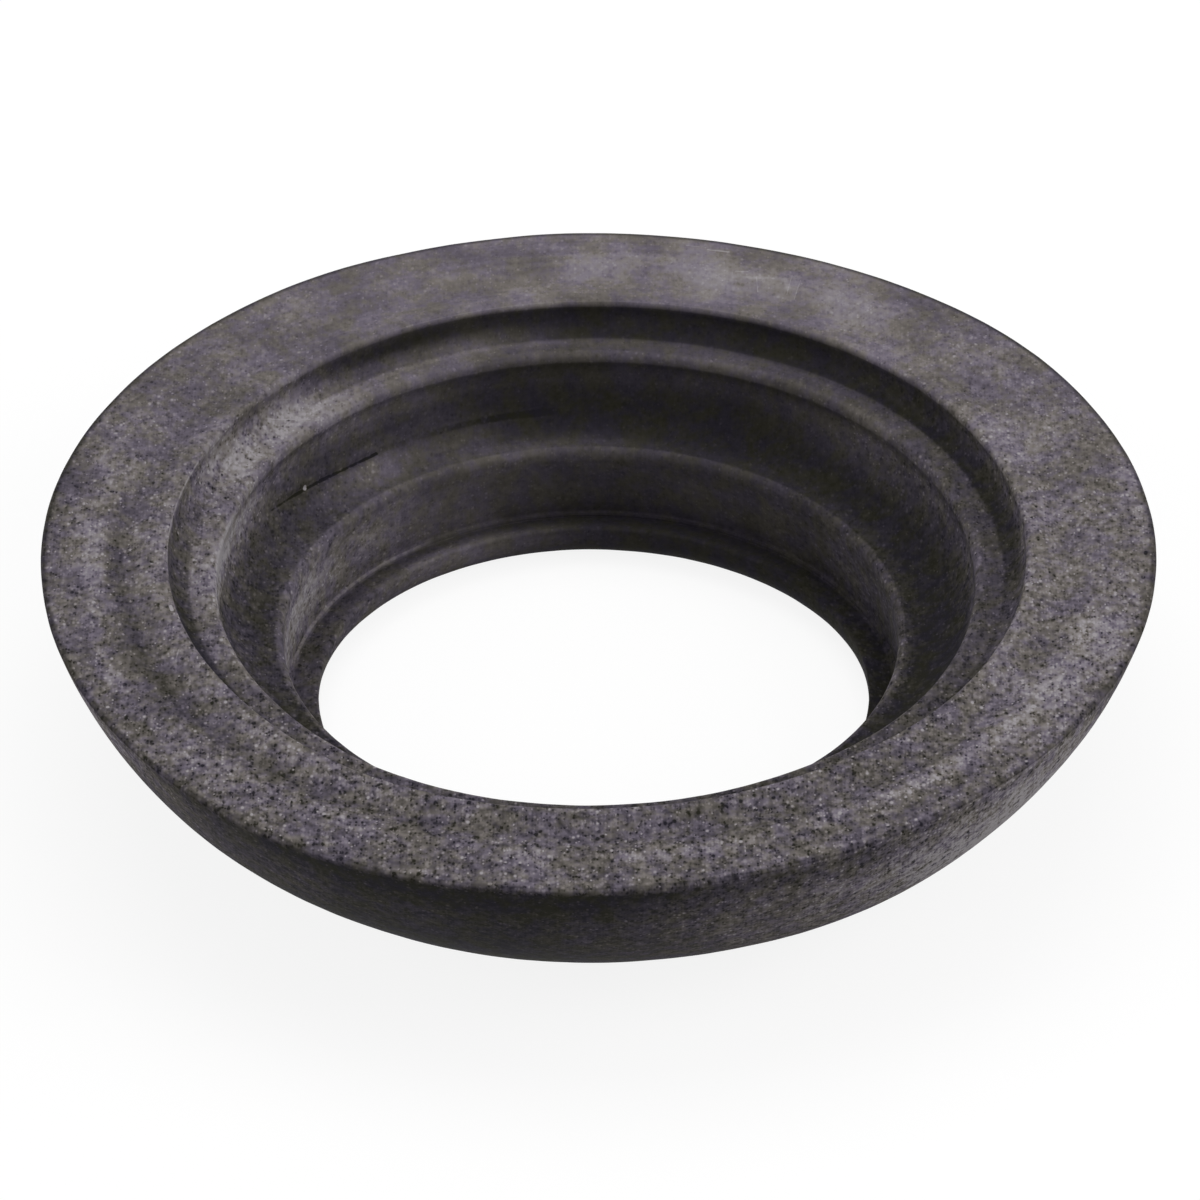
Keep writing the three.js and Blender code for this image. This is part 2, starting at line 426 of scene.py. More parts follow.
STROKES = (
    Stroke((77.5, 49.2, 20.3), (75.2, 49.3, 20.3), width=0.34, strength=0.60),
    Stroke((80.0, 49.5, 20.3), (78.6, 49.5, 20.3), width=0.20, strength=0.45),
    Stroke((73.4, 46.3, 20.3), (72.0, 46.6, 20.3), width=0.24, strength=0.50),
    Stroke((72.0, 45.6, 20.3), (69.0, 46.2, 20.3), width=0.70, strength=0.26),
    Stroke((69.6, 43.9, 20.3), (70.7, 46.0, 20.3), width=0.17, strength=0.45),
    Stroke((67.4, 46.6, 20.3), (66.2, 45.2, 20.3), width=0.70, strength=0.24),
    Stroke((66.0, 44.4, 20.3), (66.9, 47.4, 20.3), width=0.15, strength=0.36),
    Stroke((64.8, 44.0, 20.3), (65.6, 47.0, 20.3), width=0.14, strength=0.34),
    speck((60.9, 49.0, 20.3), width=0.26, strength=1.00),
    speck((57.0, 48.0, 20.3), width=0.24, strength=0.80),
    speck((54.0, 48.5, 20.3), width=0.26, strength=0.80),
    Stroke((142.8, 38.45, 18.0), (140.2, 37.40, 17.45), width=0.24, strength=1.50),
    Stroke((140.2, 37.40, 17.45), (138.2, 36.00, 17.40), width=0.20, strength=1.20),
    speck((143.5, 33.23, 12.62), width=0.58, strength=4.50),
    Stroke((194.5, 39.75, 20.25), (193.6, 39.75, 20.25), width=0.44, strength=3.00),
    speck((209.2, 49.9, 20.3), width=0.42, strength=3.00),
    speck((206.0, 36.3, 17.4), width=0.26, strength=1.30),
    speck((196.5, 37.2, 17.4), width=0.26, strength=1.30),
    Stroke((202.8, 40.8, 20.3), (204.6, 41.6, 20.3), width=0.18, strength=0.50),
    speck((322.0, 46.6, 20.3), width=0.26, strength=1.30),
    # Painted shade: dark strokes along the crease in the middle cove.
    Stroke((128.0, 32.80, 12.20), (140.0, 33.02, 12.40), width=0.44, strength=-0.55),
    Stroke((140.0, 33.02, 12.40), (146.0, 33.26, 12.65), width=0.38, strength=-0.50),
    Stroke((146.0, 33.26, 12.65), (152.5, 33.58, 13.04), width=0.32, strength=-0.24),
)
RING_LINES = (
    # Painted shade: a faint dark band along the crease in the middle cove.
    RingLine((116, 32.80, 12.20), half_turn=22, width=0.95, strength=-0.10),
    RingLine((147, 28.03, 3.57), half_turn=25, width=0.50, strength=0.52),
    # Painted highlights on the upper nose and on the inner edge of the broad face, to the left and at the
    # back.
    RingLine((176, 34.78, 16.90), half_turn=13, width=0.70, strength=0.45),
    RingLine((172, 39.30, 20.12), half_turn=14, width=0.22, strength=0.60),
    RingLine((92, 39.45, 20.20), half_turn=32, width=0.24, strength=0.22),
    # Painted highlights on the middle nose, at the front left and the right front.
    RingLine((203, 28.35, 10.45), half_turn=13, width=0.24, strength=0.45),
    RingLine((346, 28.35, 10.45), half_turn=14, width=0.30, strength=0.20),
)


@dataclass(frozen=True)
class DustFall:
    """Where dust lies on the whole ring, with the painted light that some patches add, and how coarse it
    looks. All turns are in degrees.
    """

    dusty_bearing: float = 158.0
    dusty_half_turn: float = 30.0
    fade_half_turn: float = 66.0
    level_from: float = 0.97
    blur: float = 0.16 * MM
    fine_bearing: float = 90.0
    fine_half_turn: float = 20.0
    side_turn: float = 95.0
    front_turn: float = 150.0
    fine_grain: float = 0.28
    front_grain: float = 0.34

    def side(self, bearings: np.ndarray) -> np.ndarray:
        """How far each bearing belongs to the dusty side: one there and nought on the clean side."""
        turn = np.abs(turn_from(bearings, self.dusty_bearing))
        return 1.0 - smooth_step(turn, self.dusty_half_turn, self.fade_half_turn)

    def laid(self, outline: SectionOutline, normals: np.ndarray, bearings: np.ndarray) -> np.ndarray:
        """Dust laid on each stretch, less of it where a cove is steep.

        Args:
            outline: The section's outline.
            normals: The section's outward normals.
            bearings: Bearing of each column of points.

        Returns:
            The amount for each row and column.
        """
        level = smooth_step(normals[:, 1], self.level_from, 1.0)
        clean, dusty = [], []
        for stretch, flat in zip(outline.stretches, level):
            own = LAID_DUST[stretch]
            ledge = LAID_DUST[COVES.get(stretch, stretch)]
            clean.append(own.clean + (ledge.clean - own.clean) * flat)
            dusty.append(own.dusty + (ledge.dusty - own.dusty) * flat)
        clean, dusty = self._blurred(outline, np.array(clean)), self._blurred(outline, np.array(dusty))
        return clean[:, None] + (dusty - clean)[:, None] * self.side(bearings)[None, :]

    def _blurred(self, outline: SectionOutline, values: np.ndarray) -> np.ndarray:
        """Soften the change from one stretch to the next.

        Args:
            outline: The section's outline.
            values: One value for each of its points.

        Returns:
            The softened values.
        """
        section = outline.as_array()
        lengths = np.linalg.norm(section - np.roll(section, 1, axis=0), axis=1)
        along = np.cumsum(lengths)
        gap = np.abs(along[:, None] - along[None, :])
        weights = np.exp(-((np.minimum(gap, along[-1] - gap) / self.blur) ** 2)) * lengths[None, :]
        return weights @ values / weights.sum(axis=1)

    def amount(self, outline: SectionOutline, normals: np.ndarray, bearings: np.ndarray) -> np.ndarray:
        """All the dust, with the painted light, highlights and shade that some patches add: what is laid on
        each stretch, and the patches.

        Args:
            outline: The section's outline.
            normals: The section's outward normals.
            bearings: Bearing of each column of points.

        Returns:
            The amount for each row and column.
        """
        patches = sum(patch.strength * patch.shape(bearings, outline) for patch in DUST_AND_PAINTED_LIGHT_PATCHES)
        return np.maximum(self.laid(outline, normals, bearings) + patches, 0.0)

    def grain(self, outline: SectionOutline, bearings: np.ndarray) -> np.ndarray:
        """How strong the grain is: finest at the back, coarsest in front, and calm in a smooth patch.

        Args:
            outline: The section's outline.
            bearings: Bearings in degrees.

        Returns:
            The strength for each row and column, about one at the sides.
        """
        turn = np.abs(turn_from(bearings, self.fine_bearing))
        to_side = smooth_step(turn, self.fine_half_turn, self.side_turn)
        to_front = smooth_step(turn, self.side_turn, self.front_turn)
        strength = self.fine_grain + (1.0 - self.fine_grain) * to_side + self.front_grain * to_front
        calm = sum(patch.calm * patch.shape(bearings, outline) for patch in DUST_AND_PAINTED_LIGHT_PATCHES if patch.calm)
        return strength[None, :] * (1.0 - calm)


@dataclass(frozen=True)
class Trough:
    """The shallow trough that runs round the broad face."""

    middle: float = 43.0 * MM
    half_width: float = 2.3 * MM
    depth: float = 0.3 * MM

    def drop(self, radius: np.ndarray) -> np.ndarray:
        """How far the face lies below its flat parts at each distance from the axis."""
        share = np.clip(1.0 - ((radius - self.middle) / self.half_width) ** 2, 0.0, 1.0)
        return self.depth * share ** 1.5


@dataclass(frozen=True)
class Crease:
    """The thin crease that runs along part of the middle cove."""

    first_bearing: float = 119.0
    last_bearing: float = 156.0
    height: float = 12.2 * MM
    end_rise: float = 1.1 * MM
    rise_bearing: float = 128.0
    width: float = 0.22 * MM
    depth: float = 0.34 * MM
    first_fade: float = 11.0
    last_fade: float = 9.0

    def drop(self, bearings: np.ndarray, heights: np.ndarray) -> np.ndarray:
        """How far the cove is cut back by the crease.

        Args:
            bearings: Bearing of each column of points, in degrees.
            heights: Height of each row of points.

        Returns:
            The depth of the crease at each row and column.
        """
        climb = np.clip((bearings - self.rise_bearing) / (self.last_bearing - self.rise_bearing), 0.0, 1.0)
        path = self.height + self.end_rise * climb ** 2
        across = np.exp(-(((heights[:, None] - path[None, :]) / self.width) ** 2))
        start = np.clip((bearings - self.first_bearing) / self.first_fade, 0.0, 1.0)
        stop = np.clip((self.last_bearing - bearings) / self.last_fade, 0.0, 1.0)
        return self.depth * across * (start * stop)[None, :]


@dataclass(frozen=True)
class Unevenness:
    """The small irregular waviness of a soft moulding, as layers of noise of growing fineness."""

    sizes: tuple[float, ...] = (19.0 * MM, 6.0 * MM, 1.9 * MM)
    swings: tuple[float, ...] = (0.11 * MM, 0.04 * MM, 0.014 * MM)

    def at(self, position: Vector) -> float:
        """How far the surface stands proud of its true place at a point, negative where it is hollow."""
        return sum(swing * noise.noise(position / size) for size, swing in zip(self.sizes, self.swings))


@dataclass(frozen=True)
class Swelling:
    """A soft swelling of the outer wall, which stands prouder on one side."""

    bearing: float = 303.0
    spread: float = 36.0
    all_round: float = 0.05 * MM
    proud: float = 0.52 * MM

    def rise(self, bearings: np.ndarray, height_share: np.ndarray) -> np.ndarray:
        """How far the wall stands proud at each row and column, by its share of the ring's height."""
        side = self.proud * np.exp(-((turn_from(bearings, self.bearing) / self.spread) ** 2))
        return np.sin(math.pi * height_share)[:, None] * (self.all_round + side)[None, :]


@dataclass(frozen=True)
class Wave:
    """One slow wave of the ring's bend, which comes back a whole number of times round the axis."""

    times: int
    crest: float
    widening: float = 0.0
    lift: float = 0.0

    def at(self, bearing: np.ndarray) -> np.ndarray:
        """Height of the wave at each bearing, one on a crest and minus one in a trough."""
        return np.cos(self.times * np.radians(bearing - self.crest))


@dataclass(frozen=True)
class Dip:
    """A place where the upper part of the ring hangs low, or stands high where its depth is below nought."""

    bearing: float
    spread: float
    depth: float

    def at(self, bearing: np.ndarray) -> np.ndarray:
        """How far the ring hangs down at each bearing."""
        return self.depth * np.exp(-((turn_from(bearing, self.bearing) / self.spread) ** 2))


@dataclass(frozen=True)
class Bend:
    """The lasting bend of the soft ring: its rim is a little out of round and out of flat."""

    waves: tuple[Wave, ...] = (
        Wave(times=2, crest=52, widening=0.19 * MM),
        Wave(times=3, crest=2, widening=0.17 * MM),
        Wave(times=1, crest=50, lift=0.10 * MM),
        Wave(times=2, crest=331, lift=0.12 * MM),
    )
    dips: tuple[Dip, ...] = (Dip(237, 22, 0.50 * MM), Dip(298, 20, -0.25 * MM), Dip(40, 26, -0.26 * MM))
    throat_stretch: float = 0.16 * MM
    throat_shift: float = -0.4 * MM
    ledge_shift: float = -0.42 * MM
    ledge_height: float = 10.4 * MM
    ledge_reach: float = 4.0 * MM

    def move(self, position: np.ndarray, sizes: RingSizes) -> np.ndarray:
        """Bend the points of the ring.

        Args:
            position: Points of the ring, as rows of X, Y and Z.
            sizes: The ring's sizes.

        Returns:
            The bent points.
        """
        radius = np.hypot(position[:, 0], position[:, 1])
        bearing = np.degrees(np.arctan2(position[:, 1], position[:, 0]))
        outwards = np.clip((radius - sizes.foot_radius) / (sizes.rim_radius - sizes.foot_radius), 0.0, 1.0)
        height_share = position[:, 2] / sizes.height
        widening = sum(wave.widening * wave.at(bearing) for wave in self.waves) * outwards
        lift = sum(wave.lift * wave.at(bearing) for wave in self.waves) * outwards * height_share
        body = smooth_step(radius, sizes.throat_radius, sizes.upper_wall_radius)
        lift -= sum(dip.at(bearing) for dip in self.dips) * body * height_share
        moved = position.copy()
        moved[:, :2] *= (1.0 + widening / radius)[:, None]
        moved[:, 2] += lift
        near_ledge = np.exp(-(((position[:, 2] - self.ledge_height) / self.ledge_reach) ** 2))
        low_share = np.clip(1.0 - height_share, 0.0, 1.0)
        shift = self.throat_shift * low_share + self.ledge_shift * near_ledge
        stretch = self.throat_stretch * np.cos(np.radians(bearing)) ** 3 * low_share
        moved[:, 0] += (shift + stretch) * (1.0 - outwards)
        return moved


# Where a soft dot and a fleck fade out, as shares of the gap between dots, and the shades that are flecks
DOT_EDGE = (0.22, 0.62)
FLECK_EDGE = (0.16, 0.42)
FLECK_SHADES = (0.93, 0.97)

# A thin mark is at its full strength as far from its middle as this share of its width
FULL_SHARE_OF_MARK = 0.12


class Board:
    """A node tree with short ways to place nodes and to join them."""

    def __init__(self, tree: bpy.types.NodeTree) -> None:
        """Start with an empty tree."""
        self.tree = tree
        self.tree.nodes.clear()

    def add(self, kind: str, feeds: Feeds | None = None, **settings: object) -> bpy.types.Node:
        """Place a node, set its properties and feed its inputs.

        Args:
            kind: The node's type, as Blender names it.
            feeds: What each input gets, by name or number: a plain value or another node's socket.
            settings: The node's own properties.

        Returns:
            The node.
        """
        node = self.tree.nodes.new(kind)
        for name, setting in settings.items():
            setattr(node, name, setting)
        for key, value in (feeds or {}).items():
            self.feed(node.inputs[key], value)
        return node

    def feed(self, socket: Socket, value: Value) -> None:
        """Give an input a plain value, or join it to another node's output.

        Args:
            socket: The input.
            value: The value or the output.
        """
        if isinstance(value, Socket):
            self.tree.links.new(value, socket)
        else:
            socket.default_value = value

    def maths(self, operation: str, *values: Value, clamp: bool = False) -> Socket:
        """Work out a number with one of Blender's Math nodes, kept between nought and one if clamped."""
        feeds = dict(enumerate(values))
        return self.add("ShaderNodeMath", feeds, operation=operation, use_clamp=clamp).outputs[0]

    def vector(self, operation: str, *values: Value, wanted: str = "Vector") -> Socket:
        """Work out a vector, or a Value if that is wanted, with one of Blender's Vector Math nodes."""
        return self.add("ShaderNodeVectorMath", dict(enumerate(values)), operation=operation).outputs[wanted]

    def from_axis(self, place: Value) -> tuple[bpy.types.NodeOutputs, Socket, Socket]:
        """Find out how a place lies to the axis of the ring.

        Args:
            place: Where on the object.

        Returns:
            The place's X, Y and Z, the place without its height, and its distance from the axis.
        """
        parts = self.add("ShaderNodeSeparateXYZ", {0: place}).outputs
        flat = self.add("ShaderNodeCombineXYZ", {0: parts["X"], 1: parts["Y"]}).outputs[0]
        return parts, flat, self.vector("LENGTH", flat, wanted="Value")

    def fade(self, value: Value, low: Value, high: Value, start: float = 0.0, end: float = 1.0) -> Socket:
        """Fade smoothly from the start number to the end number as a value rises from low to high."""
        feeds = {"Value": value, "From Min": low, "From Max": high, "To Min": start, "To Max": end}
        return self.add("ShaderNodeMapRange", feeds, interpolation_type="SMOOTHSTEP").outputs["Result"]

    def dots(self, place: Value, scale: Value) -> tuple[Socket, Socket]:
        """Scatter soft dots, some light and some dark.

        Args:
            place: Where on the object.
            scale: How many dots there are to a metre.

        Returns:
            The dots, between minus one and one, and a fleck of one on the few lightest.
        """
        cells = self.add("ShaderNodeTexVoronoi", {"Vector": place, "Scale": scale}).outputs
        shade = self.add("ShaderNodeSeparateColor", {0: cells["Color"]}).outputs[0]
        dot = self.fade(cells["Distance"], *DOT_EDGE, 1.0, 0.0)
        signed = self.maths("MULTIPLY_ADD", shade, 2.0, -1.0)
        core = self.fade(cells["Distance"], *FLECK_EDGE, 1.0, 0.0)
        fleck = self.maths("MULTIPLY", self.fade(shade, *FLECK_SHADES), core)
        return self.maths("MULTIPLY", dot, signed), fleck

    def thin(self, away: Value, width: Value) -> Socket:
        """Mask of a thin mark, from the distance to its middle.

        Args:
            away: The distance.
            width: The mark's whole width.

        Returns:
            One in the middle and nought outside.
        """
        half = self.maths("MULTIPLY", width, 0.5)
        inner = self.maths("MULTIPLY", width, FULL_SHARE_OF_MARK)
        return self.fade(away, inner, half, 1.0, 0.0)

    def mix(self, share: Value, first: Value, second: Value) -> Socket:
        """Mix two colours.

        Args:
            share: How much of the second colour there is.
            first: The first colour.
            second: The second colour.

        Returns:
            The mixed colour.
        """
        node = self.add("ShaderNodeMix", data_type="RGBA")
        self.feed(node.inputs[0], share)
        self.feed(node.inputs[6], opaque(first))
        self.feed(node.inputs[7], opaque(second))
        return node.outputs[2]

    def noise(self, place: Value, size: float, detail: float, roughness: float) -> Socket:
        """Even noise of one size in metres, about one half on average."""
        feeds = {"Vector": place, "Scale": 1.0 / size, "Detail": detail, "Roughness": roughness}
        return self.add("ShaderNodeTexNoise", feeds).outputs["Fac"]


def seen_at_all(board: Board) -> Socket:
    """Whether the camera sees a surface, straight, in a reflection or through something clear.

    Args:
        board: The board of the surface's material, or of the world.

    Returns:
        One where it is seen and nought where it only lights the ring.
    """
    path = board.add("ShaderNodeLightPath").outputs
    seen = board.maths("MAXIMUM", path["Is Camera Ray"], path["Is Glossy Ray"])
    return board.maths("MAXIMUM", seen, path["Is Transmission Ray"])


def opaque(colour: Value) -> Value:
    """Give a plain colour of three numbers an alpha of one, and leave a socket as it was."""
    return (*colour, 1.0) if isinstance(colour, tuple) and len(colour) == 3 else colour


class EffectGroup:
    """A shader node group with named inputs and outputs, built once and placed in a material."""

    def __init__(self, name: str, vectors: tuple[str, ...], numbers: dict[str, float],
                 outputs: tuple[str, ...]) -> None:
        """Make the empty group and its sockets.

        Args:
            name: The group's name.
            vectors: Names of the vector inputs.
            numbers: Name and default value of each number input.
            outputs: Names of the outputs, which are all numbers.
        """
        self.tree = bpy.data.node_groups.new(name, "ShaderNodeTree")
        self.board = Board(self.tree)
        sockets = self.tree.interface
        for label in vectors:
            sockets.new_socket(name=label, in_out="INPUT", socket_type="NodeSocketVector")
        for label, default in numbers.items():
            socket = sockets.new_socket(name=label, in_out="INPUT", socket_type="NodeSocketFloat")
            socket.default_value = default
        for label in outputs:
            sockets.new_socket(name=label, in_out="OUTPUT", socket_type="NodeSocketFloat")
        self.given = self.board.add("NodeGroupInput").outputs
        self.sink = self.board.add("NodeGroupOutput")

    def give(self, label: str, value: Value) -> None:
        """Send a value out of the group."""
        self.board.feed(self.sink.inputs[label], value)

    def place(self, board: Board, feeds: Feeds) -> bpy.types.Node:
        """Put the group on a material's board and feed its inputs."""
        return board.add("ShaderNodeGroup", feeds, node_tree=self.tree)


# The large dots and the clumps of the dry grain, against its small dots
LARGE_DOT_SCALE = 0.62
CLUMP_SCALE = 0.36
CLUMP_STRENGTH = 3.2
LARGE_DOT_SHIFT = (0.031, 0.017, 0.053)

# The turning marks are laid out at the ring's middle radius, and end short of the axis
MIDDLE_RADIUS = 40.0 * MM
LEAST_RADIUS = 1.0 * MM

# A speck has no length, and this stands in for the square of it
LEAST_SQUARE = 1e-12


def dry_grain_group() -> EffectGroup:
    """The salt and pepper grain of dry rubber: small light and dark dots of two sizes, gathered in clumps.

    Returns:
        The group, with a Speckle and a Height about nought, and a Fleck of one on a few bright grains.
    """
    numbers = {"Pore": 0.2 * MM, "Contrast": 1.0}
    group = EffectGroup("dry grain", ("Place",), numbers, ("Speckle", "Height", "Fleck"))
    board, given = group.board, group.given
    scale = board.maths("DIVIDE", 1.0, given["Pore"])
    large_scale = board.maths("MULTIPLY", scale, LARGE_DOT_SCALE)
    clump_scale = board.maths("MULTIPLY", scale, CLUMP_SCALE)
    elsewhere = board.vector("ADD", given["Place"], LARGE_DOT_SHIFT)
    small, small_fleck = board.dots(given["Place"], scale)
    large, large_fleck = board.dots(elsewhere, large_scale)
    clump_feeds = {"Vector": given["Place"], "Scale": clump_scale, "Detail": 1.0}
    clumps = board.add("ShaderNodeTexNoise", clump_feeds).outputs["Fac"]
    both = board.maths("ADD", small, large)
    gathered = board.maths("MULTIPLY_ADD", board.maths("SUBTRACT", clumps, 0.5), CLUMP_STRENGTH, both)
    group.give("Speckle", board.maths("MULTIPLY", gathered, given["Contrast"]))
    group.give("Height", small)
    group.give("Fleck", board.maths("MAXIMUM", small_fleck, large_fleck))
    return group


def turning_marks_group() -> EffectGroup:
    """Faint marks that run round the axis, as the turned mould leaves them.

    Returns:
        The group, with a Mark about nought.
    """
    group = EffectGroup("turning marks", ("Place",), {"Spacing": 0.6 * MM, "Length": 20.0 * MM}, ("Mark",))
    board, given = group.board, group.given
    parts, _, radius = board.from_axis(given["Place"])
    safe_radius = board.maths("MAXIMUM", radius, LEAST_RADIUS)
    per_length = board.maths("DIVIDE", MIDDLE_RADIUS, given["Length"])
    across = board.maths("MULTIPLY", board.maths("DIVIDE", parts["X"], safe_radius), per_length)
    along = board.maths("MULTIPLY", board.maths("DIVIDE", parts["Y"], safe_radius), per_length)
    outwards = board.maths("DIVIDE", radius, given["Spacing"])
    upwards = board.maths("DIVIDE", parts["Z"], given["Spacing"])
    place = board.add("ShaderNodeCombineXYZ", {0: across, 1: along, 2: outwards}).outputs[0]
    feeds = {"Vector": place, "W": upwards, "Scale": 1.0, "Detail": 2.0, "Roughness": 0.6}
    marks = board.add("ShaderNodeTexNoise", feeds, noise_dimensions="4D").outputs["Fac"]
    group.give("Mark", board.maths("SUBTRACT", marks, 0.5))
    return group


def stroke_group() -> EffectGroup:
    """A thin mark between two points, soft at its edges.

    Returns:
        The group, with a Mask of one in the middle of the mark.
    """
    group = EffectGroup("stroke", ("Place", "Start", "End"), {"Width": 0.2 * MM}, ("Mask",))
    board, given = group.board, group.given
    run = board.vector("SUBTRACT", given["End"], given["Start"])
    reach = board.vector("SUBTRACT", given["Place"], given["Start"])
    square = board.maths("MAXIMUM", board.vector("DOT_PRODUCT", run, run, wanted="Value"), LEAST_SQUARE)
    share = board.maths("DIVIDE", board.vector("DOT_PRODUCT", reach, run, wanted="Value"), square, clamp=True)
    nearest = board.add("ShaderNodeVectorMath", {0: run, "Scale": share}, operation="SCALE").outputs["Vector"]
    away = board.vector("LENGTH", board.vector("SUBTRACT", reach, nearest), wanted="Value")
    group.give("Mask", board.thin(away, given["Width"]))
    return group


def ring_line_group() -> EffectGroup:
    """A thin mark that runs round the axis at one radius and height, and fades at its two ends.

    Returns:
        The group, with a Mask of one in the middle of the mark.
    """
    numbers = {"End Cosine": 0.9, "Radius": 30.0 * MM, "Height": 10.0 * MM, "Width": 0.2 * MM}
    group = EffectGroup("ring line", ("Place", "Middle"), numbers, ("Mask",))
    board, given = group.board, group.given
    parts, flat, radius = board.from_axis(given["Place"])
    outwards = board.maths("SUBTRACT", radius, given["Radius"])
    upwards = board.maths("SUBTRACT", parts["Z"], given["Height"])
    offset = board.add("ShaderNodeCombineXYZ", {0: outwards, 1: upwards}).outputs[0]
    away = board.vector("LENGTH", offset, wanted="Value")
    cosine = board.vector("DOT_PRODUCT", board.vector("NORMALIZE", flat), given["Middle"], wanted="Value")
    full = board.maths("MULTIPLY_ADD", given["End Cosine"], 0.5, 0.5)
    ends = board.fade(cosine, given["End Cosine"], full)
    group.give("Mask", board.maths("MULTIPLY", board.thin(away, given["Width"]), ends))
    return group


@dataclass(frozen=True)
class RubberFinish:
    """Dry moulded rubber: near black where it is bare, and violet or brownish grey where dust lies and where
    light is painted.
    """

    name: str = "dusty rubber"
    violet_bare: Colour = (0.0110, 0.0096, 0.0156)
    brown_bare: Colour = (0.0132, 0.0126, 0.0070)
    violet_dust: Colour = (0.172, 0.150, 0.190)
    brown_dust: Colour = (0.185, 0.166, 0.154)
    pale_dust: Colour = (0.34, 0.32, 0.335)
    bare_roughness: float = 0.78
    dusty_roughness: float = 0.94
    pore: float = 0.26 * MM
    grain_shape: Place = (1.0, 0.74, 1.0)
    grain_contrast: float = 1.95
    grain_height: float = 0.045 * MM
    bare_grain: float = 0.031
    grain_per_dust: float = 0.29
    bare_fleck: float = 0.12
    dusty_fleck: float = 0.75
    pale_per_cover: float = 0.91
    pale_offset: float = -0.86
    full_cover: float = 0.7
    roughness_swing: float = 0.2
    relief_cover: float = 0.6
    bare_relief: float = 0.25
    dusty_relief: float = 0.6
    skin_size: float = 0.6 * MM
    skin_height: float = 0.025 * MM
    skin_relief: float = 0.5
    lump_size: float = 7.0 * MM
    lump_range: tuple[float, float] = (0.28, 0.72)
    lump_swing: tuple[float, float] = (0.72, 1.28)
    hue_size: float = 2.4 * MM
    hue_range: tuple[float, float] = (0.36, 0.64)
    mark_spacing: float = 0.75 * MM
    mark_length: float = 16.0 * MM
    mark_relief: float = 0.8
    mark_in_dust: float = 0.5
    stroke_break_range: tuple[float, float] = (0.3, 0.6)
    stroke_break_swing: tuple[float, float] = (0.5, 1.25)
    shine: float = 0.08
    velvet: float = 0.02
    velvet_roughness: float = 0.5

    def make(self) -> bpy.types.Material:
        """Build the material.

        Returns:
            The material, which reads the ring's rest, dusting and grain attributes.
        """
        material = bpy.data.materials.new(self.name)
        material.use_nodes = True
        board = Board(material.node_tree)
        place = board.add("ShaderNodeAttribute", attribute_name="rest").outputs["Vector"]
        dusting_and_painted_light = board.add("ShaderNodeAttribute", attribute_name="dusting_and_painted_light").outputs["Fac"]
        coarse = board.add("ShaderNodeAttribute", attribute_name="grain").outputs["Fac"]

        drawn_out = board.vector("MULTIPLY", place, self.grain_shape)
        grain = dry_grain_group().place(
            board, {"Place": drawn_out, "Pore": self.pore, "Contrast": self.grain_contrast}).outputs
        marks = turning_marks_group().place(
            board, {"Place": place, "Spacing": self.mark_spacing, "Length": self.mark_length}).outputs["Mark"]
        skin = board.noise(place, self.skin_size, detail=3.0, roughness=0.55)

        # dust also carries the painted light, highlights and shade of the patches.
        dust = self._dust_and_painted_light(board, place, dusting_and_painted_light, marks)
        speckle = board.maths("MULTIPLY", grain["Speckle"], coarse)
        reach = board.maths("MULTIPLY_ADD", dust, self.grain_per_dust, self.bare_grain)
        fleck = board.maths("MULTIPLY", board.maths("MULTIPLY", grain["Fleck"], coarse),
                            board.fade(dust, 0.0, self.full_cover, self.bare_fleck, self.dusty_fleck))
        # Besides scuffs and specks, the strokes and ring lines add painted highlights and painted shade.
        scuffed_and_painted = board.maths("ADD", board.maths("ADD", dust, fleck), self._scuffs_and_painted_light(board, place, skin))
        cover = board.maths("MAXIMUM", board.maths("MULTIPLY_ADD", speckle, reach, scuffed_and_painted), 0.0)
        roughness = board.fade(cover, 0.0, self.full_cover, self.bare_roughness, self.dusty_roughness)
        skin_swing = board.maths("SUBTRACT", skin, 0.5)
        uneven = board.maths("MULTIPLY_ADD", skin_swing, self.roughness_swing, roughness)
        relief = board.fade(dust, 0.0, self.relief_cover, self.bare_relief, self.dusty_relief)
        strength = board.maths("MULTIPLY", coarse, relief)
        grain_feeds = {"Height": grain["Height"], "Strength": strength, "Distance": self.grain_height}
        grain_bump = board.add("ShaderNodeBump", grain_feeds)
        skin_feeds = {"Height": board.maths("MULTIPLY_ADD", marks, self.mark_relief, skin),
                      "Strength": self.skin_relief, "Distance": self.skin_height,
                      "Normal": grain_bump.outputs["Normal"]}
        skin_bump = board.add("ShaderNodeBump", skin_feeds)

        shader = board.add("ShaderNodeBsdfPrincipled", {
            "Base Color": self._colour(board, place, cover),
            "Roughness": board.maths("MINIMUM", uneven, 1.0, clamp=True),
            "Normal": skin_bump.outputs["Normal"],
            "Specular IOR Level": self.shine,
            "Sheen Weight": self.velvet,
            "Sheen Roughness": self.velvet_roughness,
        })
        board.add("ShaderNodeOutputMaterial", {"Surface": shader.outputs["BSDF"]})
        return material

    def _dust_and_painted_light(self, board: Board, place: Value, dusting_and_painted_light: Value, marks: Value) -> Socket:
        """Break the laid dust and painted light up into lumps and into streaks that run round the axis.

        Args:
            board: The material's board.
            place: Where on the object.
            dusting_and_painted_light: The ring's dusting attribute.
            marks: Marks that run round the axis.

        Returns:
            How much dust and painted light there is, one where the rubber is covered and more where it is
            thick.
        """
        lumps = board.noise(place, self.lump_size, detail=4.0, roughness=0.62)
        lumpy = board.fade(lumps, *self.lump_range, *self.lump_swing)
        streaky = board.maths("MULTIPLY_ADD", marks, self.mark_in_dust, lumpy)
        return board.maths("MULTIPLY", dusting_and_painted_light, streaky)

